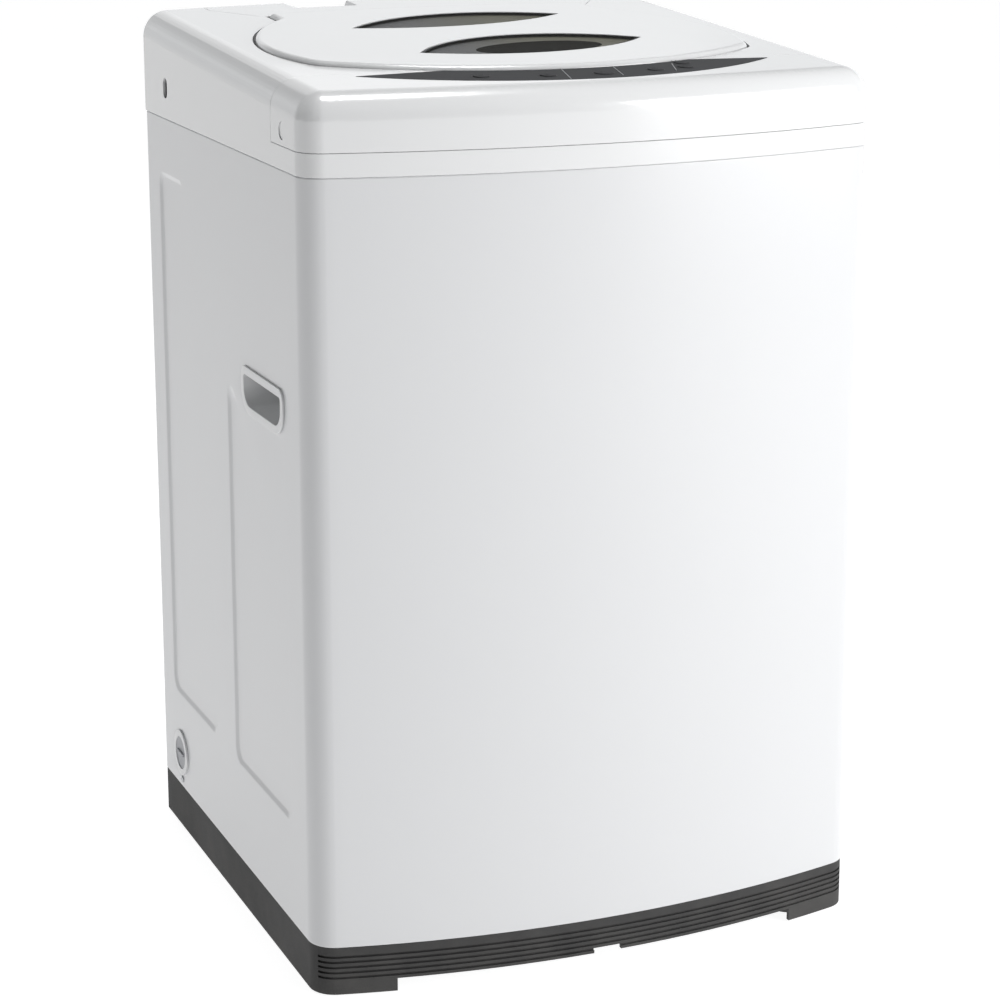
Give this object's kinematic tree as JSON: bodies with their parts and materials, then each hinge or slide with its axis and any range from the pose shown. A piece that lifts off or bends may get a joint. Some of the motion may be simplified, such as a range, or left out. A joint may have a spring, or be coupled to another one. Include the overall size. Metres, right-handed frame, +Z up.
{
  "type": "portable top-loading washing machine",
  "caption": "White portable top-loading washer with a bowed front, ribbed dark base, round lid with leaf windows, crescent key panel, suspended tub, spin basket and pulsator.",
  "frame": {"origin": "middle of the footprint, on the floor", "axes": "+X to the right seen from the front, -Y towards the bowed front, +Z up"},
  "size_m": [0.567, 0.5486, 0.8721],
  "materials": {
    "white_paint": "gloss white enamel",
    "white_plastic": "gloss white ABS",
    "white_trim": "satin white ABS",
    "base_charcoal": "matte charcoal polypropylene",
    "rubber_black": "black rubber",
    "galvanised": "zinc-coated steel",
    "stainless": "brushed stainless steel",
    "panel_grey": "dark grey film",
    "button_grey": "grey keys",
    "window_smoke": "smoked acrylic",
    "tub_white": "natural polypropylene",
    "pulsator_grey": "light grey polypropylene",
    "circuit_green": "circuit board",
    "valve_white": "nylon",
    "outlet_grey": "grey polypropylene",
    "cast_alloy": "die-cast aluminium",
    "motor_black": "black lacquered steel",
    "hose_grey": "grey rubber",
    "filter_blue": "fine nylon net in a frame"
  },
  "bodies": {
    "cabinet": {"base_frame": "base_charcoal", "foot_pads": "rubber_black", "cabinet_shell": "white_paint", "rear_panel": "galvanised", "cabinet_screws": "galvanised", "hand_grip_left": "white_trim", "hand_grip_right": "white_trim", "drain_outlet_ring": "white_trim", "drain_outlet_plug": "outlet_grey", "cord_gland": "rubber_black", "top_cover": "white_plastic", "control_fascia": "white_plastic", "fascia_screw_caps": "white_plastic", "control_panel": "panel_grey", "control_board": "circuit_green", "rear_console": "white_plastic", "inlet_valve": "valve_white", "inlet_nozzle": "tub_white", "level_sensor": "valve_white", "lid_switch": "outlet_grey", "suspension_seats": "galvanised", "suspension_rods": "galvanised"},
    "levelling_foot": {"levelling_foot": "rubber_black"},
    "lid": {"lid_shell": "white_plastic", "lid_window_rear": "window_smoke", "lid_window_front": "window_smoke", "lid_hinge_pins": "galvanised"},
    "tub": {"outer_tub": "tub_white", "tub_hangers": "tub_white", "tub_cover_ring": "tub_white", "mounting_plate": "galvanised", "gearbox_housing": "cast_alloy", "main_bearings": "stainless", "shaft_seal": "rubber_black", "plate_bolts": "galvanised", "wash_motor": "motor_black", "run_capacitor": "white_trim", "drain_valve": "outlet_grey", "drain_hose": "hose_grey", "air_tube": "hose_grey", "damper_cups": "outlet_grey", "drive_belt": "rubber_black", "suspension_springs": "galvanised"},
    "basket": {"wash_basket": "stainless", "basket_floor": "pulsator_grey", "balance_ring": "pulsator_grey", "lint_filter": "filter_blue", "spin_shaft": "stainless"},
    "pulsator": {"pulsator": "pulsator_grey", "pulsator_screw": "stainless", "wash_shaft": "stainless"},
    "drive_pulley": {"drive_pulley": "cast_alloy"},
    "motor_rotor": {"motor_pulley": "cast_alloy"},
    "button_power": {"button_power": "button_grey"},
    "button_level": {"button_level": "button_grey"},
    "button_start": {"button_start": "button_grey"},
    "button_program": {"button_program": "button_grey"},
    "button_soak": {"button_soak": "button_grey"},
    "button_spin": {"button_spin": "button_grey"}
  },
  "joints": [
    {"name": "lid_hinge", "type": "hinge", "parent": "cabinet", "child": "lid", "pos_m": [0, 0.18, 0.858], "axis": [-1, 0, 0], "range_deg": [0, 98]},
    {"name": "tub_bounce", "type": "slide", "parent": "cabinet", "child": "tub", "axis": [0, 0, 1], "range_m": [-0.012, 0.008], "stiffness_N_per_m": 12000, "springref_m": 0.0264, "deforming": ["suspension_springs", "drain_hose", "air_tube"]},
    {"name": "basket_spin", "type": "hinge", "parent": "tub", "child": "basket", "pos_m": [0, -0.008, 0.4], "axis": [0, 0, 1], "continuous": true},
    {"name": "pulsator_turn", "type": "hinge", "parent": "tub", "child": "pulsator", "pos_m": [0, -0.008, 0.26], "axis": [0, 0, 1], "continuous": true},
    {"name": "drive_pulley_spin", "type": "hinge", "parent": "tub", "child": "drive_pulley", "pos_m": [0, -0.008, 0.082], "axis": [0, 0, 1], "continuous": true},
    {"name": "motor_spin", "type": "hinge", "parent": "tub", "child": "motor_rotor", "pos_m": [0, 0.142, 0.082], "axis": [0, 0, 1], "continuous": true},
    {"name": "foot_screw", "type": "slide", "parent": "cabinet", "child": "levelling_foot", "axis": [0, 0, 1], "range_m": [0, 0.004]},
    {"name": "button_power_press", "type": "slide", "parent": "cabinet", "child": "button_power", "axis": [0, 0, -1], "range_m": [0, 0.001], "stiffness_N_per_m": 900, "springref_m": -0.001},
    {"name": "button_level_press", "type": "slide", "parent": "cabinet", "child": "button_level", "axis": [0, 0, -1], "range_m": [0, 0.001], "stiffness_N_per_m": 900, "springref_m": -0.001},
    {"name": "button_start_press", "type": "slide", "parent": "cabinet", "child": "button_start", "axis": [0, 0, -1], "range_m": [0, 0.001], "stiffness_N_per_m": 900, "springref_m": -0.001},
    {"name": "button_program_press", "type": "slide", "parent": "cabinet", "child": "button_program", "axis": [0, 0, -1], "range_m": [0, 0.001], "stiffness_N_per_m": 900, "springref_m": -0.001},
    {"name": "button_soak_press", "type": "slide", "parent": "cabinet", "child": "button_soak", "axis": [0, 0, -1], "range_m": [0, 0.001], "stiffness_N_per_m": 900, "springref_m": -0.001},
    {"name": "button_spin_press", "type": "slide", "parent": "cabinet", "child": "button_spin", "axis": [0, 0, -1], "range_m": [0, 0.001], "stiffness_N_per_m": 900, "springref_m": -0.001}
  ],
  "couplings": [
    {"joint": "pulsator_turn", "follows": "drive_pulley_spin", "ratio": 0.2},
    {"joint": "motor_spin", "follows": "drive_pulley_spin", "ratio": 4.5333}
  ]
}
